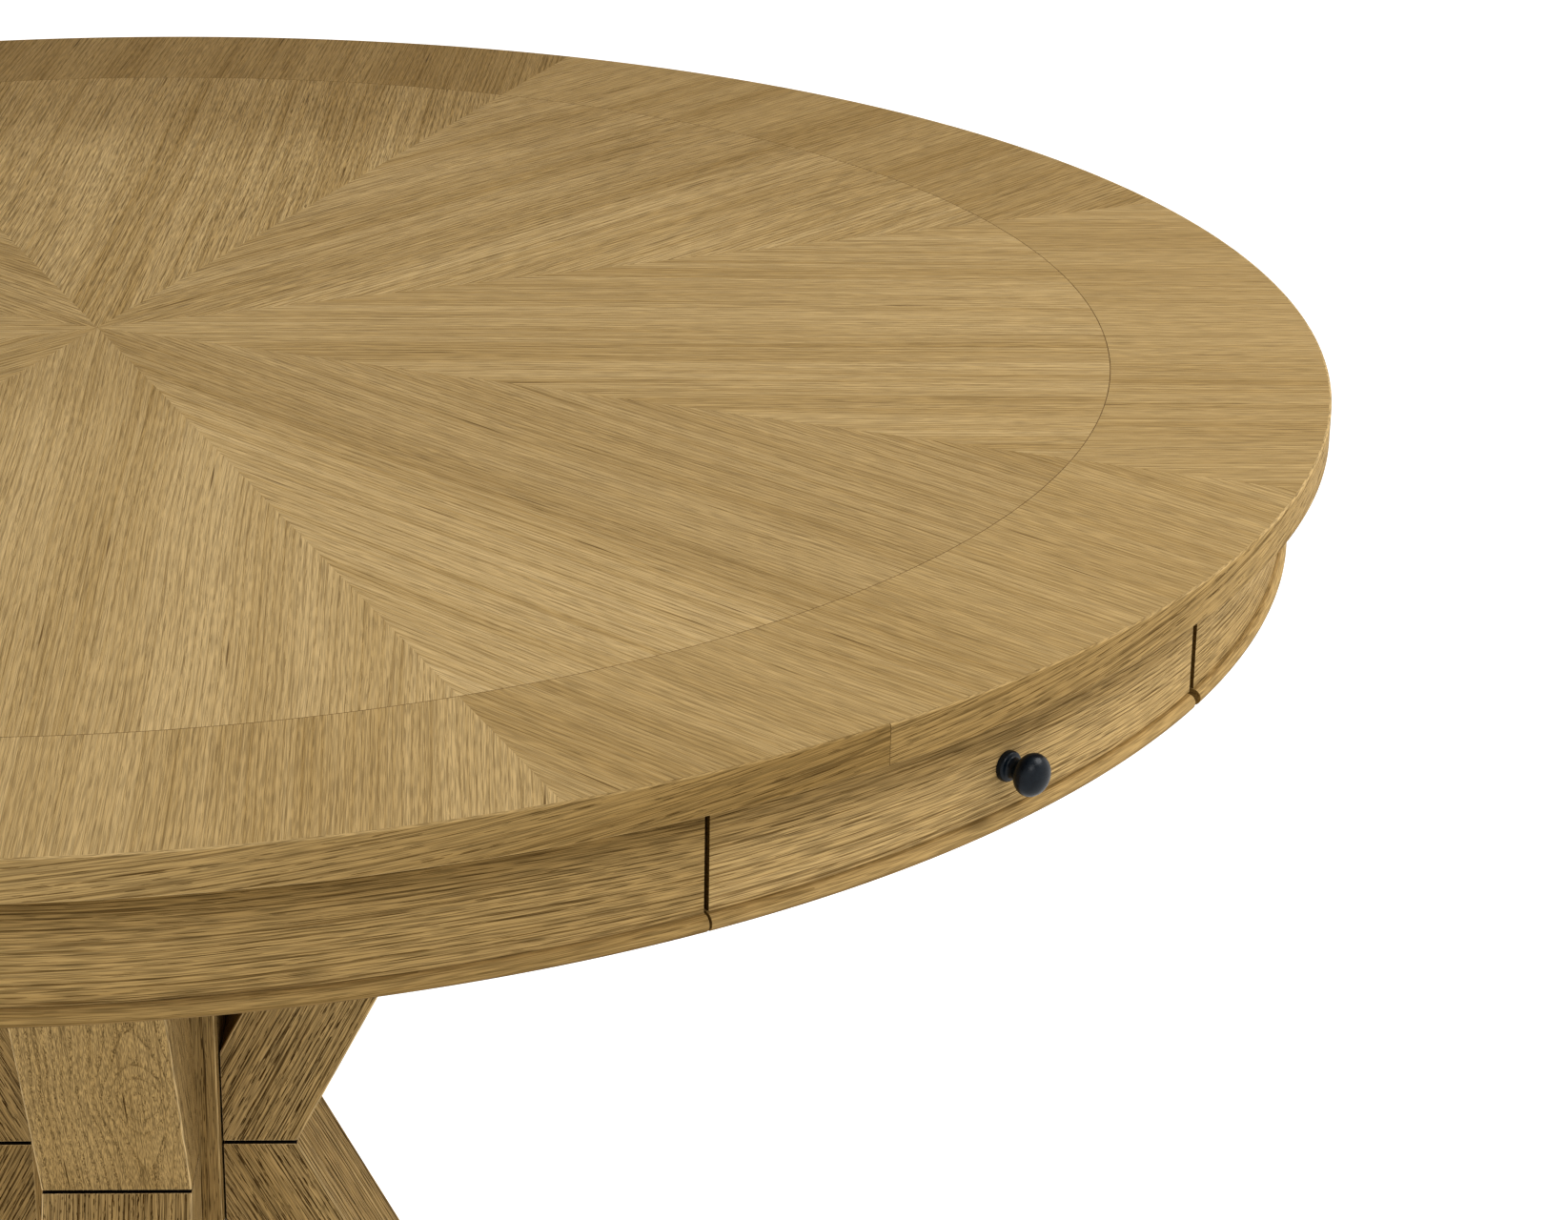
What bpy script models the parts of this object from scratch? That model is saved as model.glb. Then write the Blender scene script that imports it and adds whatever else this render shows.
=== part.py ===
"""Round pedestal table with four apron drawers.

A round veneered top carries a bent apron ring made of four fixed panels and four drawer
fronts, each with a small rounded bead along its foot.  The pedestal is a square post with
four X-shaped wings on its sides: an arm rising outwards to a pair of crossed cleats under
the top, and a leg falling outwards to a glide on the floor.

Metres, +Z up.  The origin is on the floor under the middle of the top.  The drawers lie
on -Y, +X, +Y and -X, and the wings on the diagonals between them.
"""

import math

import bmesh
import bpy

# ---------------------------------------------------------------- driving dimensions

TABLE_HEIGHT = 0.760
TOP_RADIUS = 0.550
TOP_THICKNESS = 0.016
GAP = 0.0003                 # clearance between pieces that touch

APRON_RADIUS = 0.5315        # outer face of the apron panels and drawer fronts
APRON_THICKNESS = 0.018
APRON_DEPTH = 0.0465         # underside of the top to the foot of the panels
BEAD_HEIGHT = 0.007
BEAD_OVERHANG = 0.0035       # how far the bead stands out past the apron face
NOSE_STEPS = 8               # flats round the bead's half-round nose

DRAWER_ANGLE = 30.4          # degrees of apron taken by one drawer, gap to gap
PANEL_GAP = 0.0020           # width of the slot beside a drawer front
BEAD_GAP = 0.0012            # width of the slot between two beads
FRONT_CLEARANCE = 0.001      # above a drawer front, under the top

BOX_WIDTH = 0.240            # outside of the drawer's two sides
BOX_LENGTH = 0.250           # from the front's inner face to the outside of the back
BOX_HEIGHT = 0.035
BOX_FOOT = 0.0045            # foot of the box above the foot of the apron
SIDE_THICKNESS = 0.010
BOTTOM_THICKNESS = 0.004
BOTTOM_INSET = 0.003         # foot of the bottom panel above the foot of the box

RUNNER_CLEARANCE = 0.0008    # between a drawer side and its runner
RUNNER_WALL = 0.012
RUNNER_LEDGE = 0.012         # how far the ledge reaches in under the drawer side
RUNNER_LEDGE_FOOT = 0.003    # foot of the ledge below the foot of the apron panels
RUNNER_SETBACK = 0.008       # from the drawer front's inner face to the runner's end
RUNNER_LENGTH = 0.235

KNOB_DROP = 0.0452           # knob centre below the top surface
KNOB_LENGTH = 0.0180
KNOB_HEAD_RADIUS = 0.0080
KNOB_HEAD_HALF = 0.0058      # half the thickness of the domed head
KNOB_HEAD_STEPS = 9          # points down the head's profile
KNOB_HEAD_STEP = 16.0        # degrees between them
KNOB_NECK_RADIUS = 0.0034
KNOB_ROSE_RADIUS = 0.0053
KNOB_ROSE_THICKNESS = 0.0022

POST_WIDTH = 0.089
POST_FOOT = 0.030            # the post stops short of the floor
WING_WIDTH = 0.070
WING_SLOPE = 62.5            # degrees from level, arm and leg alike
WING_THICKNESS = 0.0533      # square to the slope
CROSSING_HEIGHT = 0.362      # where arm and leg meet
CROSSING_REACH = 0.0802      # how far the wing reaches out there

CLEAT_HEIGHT = 0.028
CLEAT_REACH = 0.320
GLIDE_RADIUS = 0.014
GLIDE_THICKNESS = 0.005

SOFT_EDGE = 0.0012           # rounding of the post, arms and legs
TOP_EDGE = 0.001             # rounding of the top's rim
ARC_STEP = 3.0               # degrees of circle for each flat
ROUND_STEPS = 24

QUARTERS = {"south": -90.0, "east": 0.0, "north": 90.0, "west": 180.0}
DIAGONALS = {"se": -45.0, "ne": 45.0, "nw": 135.0, "sw": -135.0}

TOP_UNDERSIDE = TABLE_HEIGHT - TOP_THICKNESS
APRON_FOOT = TOP_UNDERSIDE - APRON_DEPTH
APRON_INNER = APRON_RADIUS - APRON_THICKNESS
CLEAT_UNDERSIDE = TOP_UNDERSIDE - CLEAT_HEIGHT

OAK_TOP = (0.42, 0.31, 0.135)
OAK_APRON = (0.34, 0.24, 0.10)
OAK_BASE = (0.29, 0.20, 0.085)
PLY = (0.55, 0.43, 0.26)
KNOB_METAL = (0.012, 0.016, 0.024)
GLIDE_NYLON = (0.04, 0.035, 0.03)


# ---------------------------------------------------------------- helpers


def clear_scene():
    for obj in list(bpy.data.objects):
        bpy.data.objects.remove(obj, do_unlink=True)


def new_collection(name):
    collection = bpy.data.collections.new(name)
    bpy.context.scene.collection.children.link(collection)
    return collection


def make_material(name, color, roughness, metallic=0.0):
    material = bpy.data.materials.new(name)
    material.use_nodes = True
    shader = material.node_tree.nodes["Principled BSDF"]
    shader.inputs["Base Color"].default_value = (*color, 1.0)
    shader.inputs["Roughness"].default_value = roughness
    shader.inputs["Metallic"].default_value = metallic
    return material


def add_piece(name, data, material, parent=None):
    """An object for one piece, in the table's collection, under its parent empty."""
    piece = bpy.data.objects.new(name, data)
    PARTS.objects.link(piece)
    data.materials.append(material)
    piece.parent = parent
    return piece


def add_frame(name, azimuth):
    """An empty on the table's axis whose +X points along one azimuth."""
    frame = bpy.data.objects.new(name, None)
    PARTS.objects.link(frame)
    frame.rotation_euler.z = math.radians(azimuth)
    return frame


def soften(piece, width=SOFT_EDGE):
    bevel = piece.modifiers.new("soft edges", "BEVEL")
    bevel.width = width
    bevel.segments = 2
    bevel.limit_method = "ANGLE"
    bevel.angle_limit = math.radians(30.0)


def mesh_from(bm, name):
    bmesh.ops.recalc_face_normals(bm, faces=bm.faces)
    mesh = bpy.data.meshes.new(name)
    bm.to_mesh(mesh)
    bm.free()
    return mesh


def smooth_rounds(mesh):
    mesh.shade_smooth()
    mesh.set_sharp_from_angle(angle=math.radians(30.0))


def arc(radius, start, end):
    """Points along a circle about the table's axis, from start to end degrees."""
    count = max(1, round(abs(end - start) / ARC_STEP))
    angles = [math.radians(start + (end - start) * i / count) for i in range(count + 1)]
    return [(radius * math.cos(a), radius * math.sin(a)) for a in angles]


def swept(name, section, half_angle, material, parent):
    """A closed section of (radius, height) points swept round the table's axis."""
    bm = bmesh.new()
    start = -math.radians(half_angle)
    corners = []
    for radius, height in section:
        corners.append(bm.verts.new((radius * math.cos(start), radius * math.sin(start), height)))
    face = bm.faces.new(corners)
    steps = max(1, round(2.0 * half_angle / ARC_STEP))
    bmesh.ops.spin(bm, geom=[face] + list(face.edges) + corners, cent=(0.0, 0.0, 0.0),
                   axis=(0.0, 0.0, 1.0), angle=math.radians(2.0 * half_angle), steps=steps)
    mesh = mesh_from(bm, name)
    smooth_rounds(mesh)
    return add_piece(name, mesh, material, parent)


def outlined(name, points, thickness, material, parent=None):
    """A flat outline in the local XY plane, filled and given a thickness along Z."""
    curve = bpy.data.curves.new(name, "CURVE")
    curve.dimensions = "2D"
    curve.fill_mode = "BOTH"
    curve.extrude = thickness / 2.0
    spline = curve.splines.new("POLY")
    spline.points.add(len(points) - 1)
    for point, (x, y) in zip(spline.points, points):
        point.co = (x, y, 0.0, 1.0)
    spline.use_cyclic_u = True
    piece = add_piece(name, curve, material, parent)
    weld = piece.modifiers.new("closed caps", "WELD")
    weld.merge_threshold = 0.00005
    return piece


def block(name, size, material, parent=None):
    """A rectangular board about its own middle."""
    bm = bmesh.new()
    bmesh.ops.create_cube(bm, size=1.0)
    bmesh.ops.scale(bm, vec=size, verts=bm.verts)
    return add_piece(name, mesh_from(bm, name), material, parent)


def cylinder(name, radius, depth, segments, material, parent=None):
    bm = bmesh.new()
    bmesh.ops.create_cone(bm, cap_ends=True, segments=segments, radius1=radius, radius2=radius,
                          depth=depth)
    mesh = mesh_from(bm, name)
    smooth_rounds(mesh)
    return add_piece(name, mesh, material, parent)


# ---------------------------------------------------------------- top and apron


def build_top():
    segments = round(360.0 / ARC_STEP)
    top = cylinder("table_top", TOP_RADIUS, TOP_THICKNESS, segments, OAK_TOP_MATERIAL)
    top.location.z = TABLE_HEIGHT - TOP_THICKNESS / 2.0
    soften(top, TOP_EDGE)


def panel_section(head):
    """The rectangle of an apron panel or drawer front, whose head is at a given height."""
    return [(APRON_INNER, APRON_FOOT), (APRON_RADIUS, APRON_FOOT), (APRON_RADIUS, head), (APRON_INNER, head)]


def bead_section():
    """A flat strip under the panel with a half-round nose that stands proud of it."""
    nose = BEAD_HEIGHT / 2.0
    centre_radius = APRON_RADIUS + BEAD_OVERHANG - nose
    centre_height = APRON_FOOT - GAP - nose
    points = [(APRON_INNER, centre_height - nose)]
    for step in range(NOSE_STEPS + 1):
        angle = math.radians(180.0 * step / NOSE_STEPS - 90.0)
        points.append((centre_radius + nose * math.cos(angle), centre_height + nose * math.sin(angle)))
    points.append((APRON_INNER, centre_height + nose))
    return points


def half_gap(width):
    """Half a slot between two apron pieces, as an angle in degrees."""
    return math.degrees(width / 2.0 / APRON_RADIUS)


def build_fixed_apron(name, azimuth):
    frame = add_frame("apron_frame_" + name, azimuth)
    half = 45.0 - DRAWER_ANGLE / 2.0
    swept("apron_panel_" + name, panel_section(TOP_UNDERSIDE - GAP), half - half_gap(PANEL_GAP),
          OAK_APRON_MATERIAL, frame)
    swept("apron_bead_" + name, bead_section(), half - half_gap(BEAD_GAP), OAK_APRON_MATERIAL, frame)


# ---------------------------------------------------------------- drawers


def box_levels():
    foot = APRON_FOOT + BOX_FOOT
    return foot, foot + BOX_HEIGHT


def inner_face(offset):
    """Distance out to the front's inner face, at a given distance off the drawer's middle."""
    return math.sqrt(APRON_INNER ** 2 - offset ** 2) - GAP


def build_drawer_box(prefix, frame):
    foot, head = box_levels()
    middle = (foot + head) / 2.0
    back_out = inner_face(BOX_WIDTH / 2.0) - BOX_LENGTH
    outer = BOX_WIDTH / 2.0
    inner = outer - SIDE_THICKNESS
    for side, sign in (("left", -1.0), ("right", 1.0)):
        outline = [(back_out, outer), (inner_face(outer), outer), (inner_face(inner), inner), (back_out, inner)]
        outline = [(x, sign * y) for x, y in outline]
        board = outlined(prefix + "side_" + side, outline, BOX_HEIGHT, PLY_MATERIAL, frame)
        board.location.z = middle

    back_width = 2.0 * (inner - GAP)
    back = block(prefix + "back", (SIDE_THICKNESS, back_width, BOX_HEIGHT), PLY_MATERIAL, frame)
    back.location = (back_out + SIDE_THICKNESS / 2.0, 0.0, middle)

    half_bottom = inner - GAP
    edge_angle = math.degrees(math.asin(half_bottom / APRON_INNER))
    outline = arc(APRON_INNER - 2.0 * GAP, -edge_angle, edge_angle)
    rear = back_out + SIDE_THICKNESS + GAP
    outline += [(rear, outline[-1][1]), (rear, outline[0][1])]
    bottom = outlined(prefix + "bottom", outline, BOTTOM_THICKNESS, PLY_MATERIAL, frame)
    bottom.location.z = foot + BOTTOM_INSET + BOTTOM_THICKNESS / 2.0


def knob_profile():
    """Outer side of the turned knob, from the tip of its domed head down to its rose."""
    head_centre = KNOB_LENGTH - KNOB_HEAD_HALF
    points = [(0.0, KNOB_LENGTH)]
    for step in range(1, KNOB_HEAD_STEPS + 1):
        angle = math.radians(90.0 - KNOB_HEAD_STEP * step)
        points.append((KNOB_HEAD_RADIUS * math.cos(angle), head_centre + KNOB_HEAD_HALF * math.sin(angle)))
    points += [(KNOB_NECK_RADIUS, head_centre - KNOB_HEAD_HALF),
               (KNOB_NECK_RADIUS, 1.6 * KNOB_ROSE_THICKNESS),
               (0.85 * KNOB_ROSE_RADIUS, KNOB_ROSE_THICKNESS),
               (KNOB_ROSE_RADIUS, 0.5 * KNOB_ROSE_THICKNESS),
               (KNOB_ROSE_RADIUS, 0.0),
               (0.0, 0.0)]
    return points


def build_knob(name, frame):
    bm = bmesh.new()
    corners = [bm.verts.new((radius, 0.0, height)) for radius, height in knob_profile()]
    for upper, lower in zip(corners, corners[1:]):
        bm.edges.new((upper, lower))
    mesh = bpy.data.meshes.new(name)
    bm.to_mesh(mesh)
    bm.free()
    knob = add_piece(name, mesh, KNOB_MATERIAL, frame)
    screw = knob.modifiers.new("turned", "SCREW")
    screw.axis = "Z"
    screw.steps = ROUND_STEPS
    screw.render_steps = ROUND_STEPS
    screw.use_merge_vertices = True
    screw.merge_threshold = 0.00005
    screw.use_smooth_shade = True
    knob.rotation_euler.y = math.radians(90.0)
    knob.location = (APRON_RADIUS + GAP, 0.0, TABLE_HEIGHT - KNOB_DROP)


def build_drawer(name, azimuth):
    """All pieces of one drawer, under an empty whose +X is the way the drawer slides."""
    frame = add_frame("drawer_slide_" + name, azimuth)
    prefix = "drawer_" + name + "_"
    half = DRAWER_ANGLE / 2.0
    swept(prefix + "front", panel_section(TOP_UNDERSIDE - FRONT_CLEARANCE), half - half_gap(PANEL_GAP),
          OAK_APRON_MATERIAL, frame)
    swept(prefix + "bead", bead_section(), half - half_gap(BEAD_GAP), OAK_APRON_MATERIAL, frame)
    build_drawer_box(prefix, frame)
    build_knob(prefix + "knob", frame)


def build_runners(name, azimuth):
    """Two L-shaped runners hung under the top, one beside and beneath each drawer side."""
    frame = add_frame("runner_frame_" + name, azimuth)
    foot = box_levels()[0] - GAP
    inner = BOX_WIDTH / 2.0 + RUNNER_CLEARANCE
    outer = inner + RUNNER_WALL
    ledge = BOX_WIDTH / 2.0 - RUNNER_LEDGE
    floor = APRON_FOOT - RUNNER_LEDGE_FOOT
    head = TOP_UNDERSIDE - GAP
    section = [(outer, head), (inner, head), (inner, foot), (ledge, foot), (ledge, floor), (outer, floor)]
    reach = inner_face(outer) - RUNNER_SETBACK
    for side, sign in (("left", -1.0), ("right", 1.0)):
        outline = [(sign * across, height) for across, height in section]
        runner = outlined("runner_" + name + "_" + side, outline, RUNNER_LENGTH, PLY_MATERIAL, frame)
        runner.rotation_euler = (math.radians(90.0), 0.0, math.radians(90.0))
        runner.location.x = reach - RUNNER_LENGTH / 2.0


# ---------------------------------------------------------------- pedestal


def build_cleats():
    """Two crossed beams under the top, half-lapped where they cross."""
    half_notch = WING_WIDTH / 2.0 + GAP
    half_height = CLEAT_HEIGHT / 2.0
    top = half_height - GAP / 2.0
    foot = -half_height + GAP / 2.0
    lap = GAP / 2.0
    upper = [(-CLEAT_REACH, top), (-CLEAT_REACH, foot), (-half_notch, foot), (-half_notch, lap),
             (half_notch, lap), (half_notch, foot), (CLEAT_REACH, foot), (CLEAT_REACH, top)]
    lower = [(x, -y) for x, y in upper]
    for name, outline, azimuth in (("cleat_upper", upper, 45.0), ("cleat_lower", lower, -45.0)):
        cleat = outlined(name, outline, WING_WIDTH, OAK_BASE_MATERIAL)
        cleat.rotation_euler = (math.radians(90.0), 0.0, math.radians(azimuth))
        cleat.location.z = TOP_UNDERSIDE - half_height - GAP / 2.0


def build_post():
    height = CLEAT_UNDERSIDE - 2.0 * GAP - POST_FOOT
    post = block("post", (POST_WIDTH, POST_WIDTH, height), OAK_BASE_MATERIAL)
    post.rotation_euler.z = math.radians(45.0)
    post.location.z = POST_FOOT + height / 2.0
    soften(post)


def wing_outline(rise):
    """Side view of an arm: foot on the crossing, rising outwards by a given height.

    Heights are measured from the crossing, and x is the distance out from the axis.
    """
    run = 1.0 / math.tan(math.radians(WING_SLOPE))
    level_thickness = WING_THICKNESS / math.sin(math.radians(WING_SLOPE))
    inner = POST_WIDTH / 2.0 + GAP
    outer_head = CROSSING_REACH + run * rise
    inner_head = outer_head - level_thickness
    leaves_post = rise - (inner_head - inner) / run
    return [(inner, GAP / 2.0), (CROSSING_REACH, GAP / 2.0), (outer_head, rise), (inner_head, rise),
            (inner, leaves_post)]


def build_wing(name, azimuth):
    frame = add_frame("wing_frame_" + name, azimuth)
    arm_rise = CLEAT_UNDERSIDE - 2.0 * GAP - CROSSING_HEIGHT
    leg_fall = CROSSING_HEIGHT - GLIDE_THICKNESS - GAP
    arm_outline = wing_outline(arm_rise)
    leg_outline = [(x, -y) for x, y in wing_outline(leg_fall)]
    for piece_name, outline in (("arm_" + name, arm_outline), ("leg_" + name, leg_outline)):
        piece = outlined(piece_name, outline, WING_WIDTH, OAK_BASE_MATERIAL, frame)
        piece.rotation_euler.x = math.radians(90.0)
        piece.location.z = CROSSING_HEIGHT
        soften(piece)

    foot_outer, foot_inner = leg_outline[2][0], leg_outline[3][0]
    glide = cylinder("glide_" + name, GLIDE_RADIUS, GLIDE_THICKNESS, ROUND_STEPS, GLIDE_MATERIAL, frame)
    glide.location = ((foot_outer + foot_inner) / 2.0, 0.0, GLIDE_THICKNESS / 2.0)


# ---------------------------------------------------------------- the table

clear_scene()
PARTS = new_collection("round_pedestal_table")

OAK_TOP_MATERIAL = make_material("oak_top", OAK_TOP, 0.45)
OAK_APRON_MATERIAL = make_material("oak_apron", OAK_APRON, 0.5)
OAK_BASE_MATERIAL = make_material("oak_base", OAK_BASE, 0.55)
PLY_MATERIAL = make_material("drawer_ply", PLY, 0.6)
KNOB_MATERIAL = make_material("knob_metal", KNOB_METAL, 0.35, 0.8)
GLIDE_MATERIAL = make_material("glide_nylon", GLIDE_NYLON, 0.6)

build_top()
build_cleats()
build_post()
for diagonal, direction in DIAGONALS.items():
    build_fixed_apron(diagonal, direction)
    build_wing(diagonal, direction)
for quarter, direction in QUARTERS.items():
    build_drawer(quarter, direction)
    build_runners(quarter, direction)
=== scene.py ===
"""Looks of the round pedestal table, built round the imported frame.

The top is laid up as eight wedges of oak veneer inside a thin dark line, with eight border
leaves outside it and a banded rim.  The bent apron, its beads and the drawer fronts are swept
finely, the knobs are turned, and every wooden piece carries oak grain that runs along it.
"""

import math

import bmesh
import bpy
from mathutils import Matrix, Vector


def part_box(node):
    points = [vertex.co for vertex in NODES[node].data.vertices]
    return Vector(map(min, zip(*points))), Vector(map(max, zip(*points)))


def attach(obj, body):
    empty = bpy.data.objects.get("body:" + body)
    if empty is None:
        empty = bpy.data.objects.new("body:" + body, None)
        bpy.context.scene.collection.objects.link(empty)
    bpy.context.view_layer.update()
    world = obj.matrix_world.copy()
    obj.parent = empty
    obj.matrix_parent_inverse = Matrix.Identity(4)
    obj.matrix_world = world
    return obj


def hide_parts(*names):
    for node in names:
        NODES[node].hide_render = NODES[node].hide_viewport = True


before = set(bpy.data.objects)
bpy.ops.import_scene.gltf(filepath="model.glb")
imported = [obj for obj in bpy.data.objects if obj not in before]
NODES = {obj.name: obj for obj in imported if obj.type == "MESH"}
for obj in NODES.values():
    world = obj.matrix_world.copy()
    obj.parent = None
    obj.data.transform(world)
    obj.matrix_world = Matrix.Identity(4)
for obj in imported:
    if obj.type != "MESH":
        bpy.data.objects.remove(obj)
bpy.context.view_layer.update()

QUARTERS = {"south": -90.0, "east": 0.0, "north": 90.0, "west": 180.0}
DIAGONALS = {"se": -45.0, "ne": 45.0, "nw": 135.0, "sw": -135.0}

# ---------------------------------------------------------------- dimensions, in metres

TOP_LOW, TOP_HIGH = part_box("table_top")
TOP_RADIUS = TOP_HIGH.x
TOP_SURFACE = TOP_HIGH.z
TOP_UNDERSIDE = TOP_LOW.z

LINE_RADIUS = 0.8247 * TOP_RADIUS   # the dark line between wedges and border
LINE_WIDTH = 0.0004
LINE_DEPTH = 0.00004                # below the surface
LEAF_THICKNESS = 0.0006
LEAF_GAP = 0.00002
LEAF_EYE = 0.0003                   # radius left open where the wedges' points meet
LEAF_TURN = 0.55                    # degrees that the veneer sits round from the drawers
LEAF_HALF = 22.5                    # degrees
BAND_THICKNESS = 0.0011
BAND_ROUND = 0.0007
BAND_ROUND_STEPS = 5
BAND_JOINT = -98.4                  # azimuth of the rim band's butt joint
BAND_JOINT_GAP = 0.00025
TOP_STEPS = 480                     # facets round the top's core

FRONT_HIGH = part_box("drawer_east_front")[1]
BEAD_LOW, BEAD_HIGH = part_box("drawer_east_bead")
PANEL_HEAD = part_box("apron_panel_ne")[1].z
APRON_RADIUS = FRONT_HIGH.x
APRON_THICKNESS = 0.018
APRON_INNER = APRON_RADIUS - APRON_THICKNESS
PANEL_ROUND = 0.0004
BEAD_RADIUS = BEAD_HIGH.x
BEAD_NOSE = (BEAD_HIGH.z - BEAD_LOW.z) / 2.0
BEAD_NOSE_STEPS = 14
BEAD_ROUND = 0.0003
BEAD_CREASE = 0.00018               # open line between a front and its bead
FRONT_HALF = math.degrees(math.asin(FRONT_HIGH.y / APRON_RADIUS))
BEAD_HALF = math.degrees(math.asin(BEAD_HIGH.y / BEAD_RADIUS))
SLOT_MIDDLE = 15.2                  # degrees from a drawer's middle to the slots beside it
FIXED_HALF = 45.0 - 2.0 * SLOT_MIDDLE + FRONT_HALF
FIXED_BEAD_HALF = 45.0 - 2.0 * SLOT_MIDDLE + BEAD_HALF
SWEEP_STEP = 0.75                   # degrees

# degrees taken off the two ends of each drawer's front, and of its bead
FRONT_TRIMS = {"south": (0.0, 0.25), "east": (0.03, 0.0), "north": (0.0, 0.04),
               "west": (0.02, 0.03)}
BEAD_TRIMS = {"south": (-0.03, 0.42), "east": (0.0, -0.02), "north": (-0.02, 0.02),
              "west": (0.0, 0.0)}

POST_WIDTH = 0.089
POST_SIDE_GAP = 0.0009              # dark line where a wing meets the post
WING_WIDTH = 0.070
WING_SLOPE = 62.5                   # degrees from level, arm and leg alike
WING_THICKNESS = 0.0533             # square to the slope
CROSSING_HEIGHT = 0.362
CROSSING_REACH = 0.0802
SEAM_GAP = 0.0019                   # dark line where arm meets leg
BASE_ROUND = 0.0008
SEAM_ROUND = 0.0003

KNOB_HEAD_RADIUS = 0.0083
KNOB_HEAD_HALF = 0.0060             # half of the head's thickness
KNOB_NECK = 0.0036                  # radius
KNOB_NECK_FLARE = 0.0006            # how much the neck widens again at its foot
KNOB_NECK_FOOT = 0.0030             # height above the front
KNOB_ROSE_RADIUS = 0.0060
KNOB_ROSE_ROUND = 0.0014
KNOB_STEPS = 64
PLY_THICKNESS = 0.0014              # of one ply in the drawers' plywood

CAMERA_PLACE = (-1.01134, -1.33918, 1.29664)
CAMERA_TURN = (67.983, -1.0571, -47.3011)
CAMERA_LENS = 88.506
SENSOR_WIDTH = 36.0

# ---------------------------------------------------------------- colours, linear

OAK_LIGHT = (0.43, 0.285, 0.113)
OAK_DARK = (0.30, 0.183, 0.058)
OAK_PORE = (0.10, 0.052, 0.013)
BASE_PORE = (0.055, 0.026, 0.005)
LINE_COLOR = (0.17, 0.098, 0.036)
# near-black of the wings' joints: painted shade
SEAM_BLACK = (0.006, 0.004, 0.003)
STAIN_AND_SHADE_TONE = 0.62                   # what the deepest darkening leaves of a colour, from stained wood or painted shade
EDGE_HIGHLIGHT_TONE = 1.45                    # brightness of the wings' rounded edges beside their faces: a painted highlight
BEAD_TONE = 0.91                    # brightness of a bead beside its front
POST_TONE = 0.85
# the post's rounded edges are paler: a painted highlight
POST_EDGE_HIGHLIGHT_TONE = 1.2
CLEAT_TONE = 0.32                   # the cleats stand in deep shade
PLY_LIGHT = (0.56, 0.43, 0.25)
PLY_DARK = (0.44, 0.32, 0.17)
PLY_EDGE = (0.30, 0.20, 0.10)
PLY_FLECK = (0.27, 0.18, 0.09)
KNOB_DARK = (0.0012, 0.0034, 0.0068)
KNOB_LIGHT = (0.0038, 0.0082, 0.0125)
NYLON_DARK = (0.030, 0.026, 0.022)
NYLON_LIGHT = (0.060, 0.053, 0.046)

# each leaf by the way it points, in degrees: brightness of its wedge and border piece (its own tone,
# with painted shade darkening the leaves on the side away from the lamps), how far the grain of each is
# turned from its middle line, how open its pores are, and its streaks
LEAVES = {-135: (1.24, 1.16, 2.0, 2.0, 0.42, 0.46), -90: (1.31, 1.07, 0.0, 0.0, 0.44, 0.60),
          -45: (1.19, 1.07, 0.0, 0.0, 0.50, 0.62), 0: (1.21, 0.93, 1.5, 3.0, 0.60, 0.62),
          45: (1.11, 0.69, -1.7, -4.5, 0.64, 0.66), 90: (1.04, 0.92, 1.0, -1.0, 0.60, 0.60),
          135: (1.13, 1.02, -1.0, 1.5, 0.50, 0.60), 180: (1.09, 0.95, 0.5, -1.5, 0.52, 0.60)}

# painted shade: how much darker some wedges are near the table's middle, on one side, and out towards
# the line
LEAF_SHADES = {-135: (0.30, 0.0, 0.0), -90: (0.0, 0.55, 0.0), 0: (0.0, 0.26, 0.24),
               45: (0.0, 0.0, 0.60)}

# brightness of each panel and front, and how dark the painted shade in the crease over its bead is
PANEL_TONES = {"se": (1.06, 0.9), "ne": (1.0, 0.9), "nw": (1.02, 0.9), "sw": (0.86, 0.1)}
FRONT_TONES = {"south": (1.06, 0.9), "east": (1.0, 0.9), "north": (1.03, 0.9), "west": (1.02, 0.9)}

# brightness of each half of the four wings
WING_TONES = {"arm_se": 1.03, "leg_se": 0.98, "arm_ne": 0.96, "leg_ne": 0.94, "arm_nw": 0.94,
              "leg_nw": 0.97, "arm_sw": 0.93, "leg_sw": 1.05}

# ---------------------------------------------------------------- oak figure, in metres

SEED_STEP = (1.37, 0.71, 0.53)      # how far apart two seeds lie in the grain
EYE_HEIGHT = 0.0690                 # of the eye above the crossing, on one arm
EYE_SIDE = 0.0185
EYE_LENGTH = 0.027                  # how far along the grain an eye reaches
EYE_WIDTH = 0.018
EYE_RING = 0.0034                   # spacing of the rings round it
FIBRES_ACROSS = 2900.0              # per metre

# ---------------------------------------------------------------- oak looks of the base

# sides sawn through the rings, faces sawn flat, rounded edges with a painted highlight, the face with
# the eye and the face with straight strong lines
BASE_LOOK = {"Streak": 0.26, "Figure": 0.36, "Fibre": 0.65, "Lines": 0.8, "Pores": 1.0,
             "Open": 0.04, "Across": 1550.0, "relief": 0.0003, "Pore": BASE_PORE}
SAWN_THROUGH = dict(BASE_LOOK, Rings=(0.0, 120.0, 420.0), Along=110.0)
SAWN_FLAT = dict(BASE_LOOK, Rings=(0.0, 400.0, 90.0), Along=230.0, Hills=7.0, Figure=0.4)
EDGE_HIGHLIGHT_LOOK = dict(BASE_LOOK, Pores=0.3, Streak=0.3, Fibre=0.8)
EYED = dict(SAWN_FLAT, Along=450.0, Across=1700.0, Figure=0.16, Pores=0.6, Eyed=1.0,
            Lines=0.6, Open=0.02, Streak=0.22, Fibre=0.65, Length=240.0)
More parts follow.
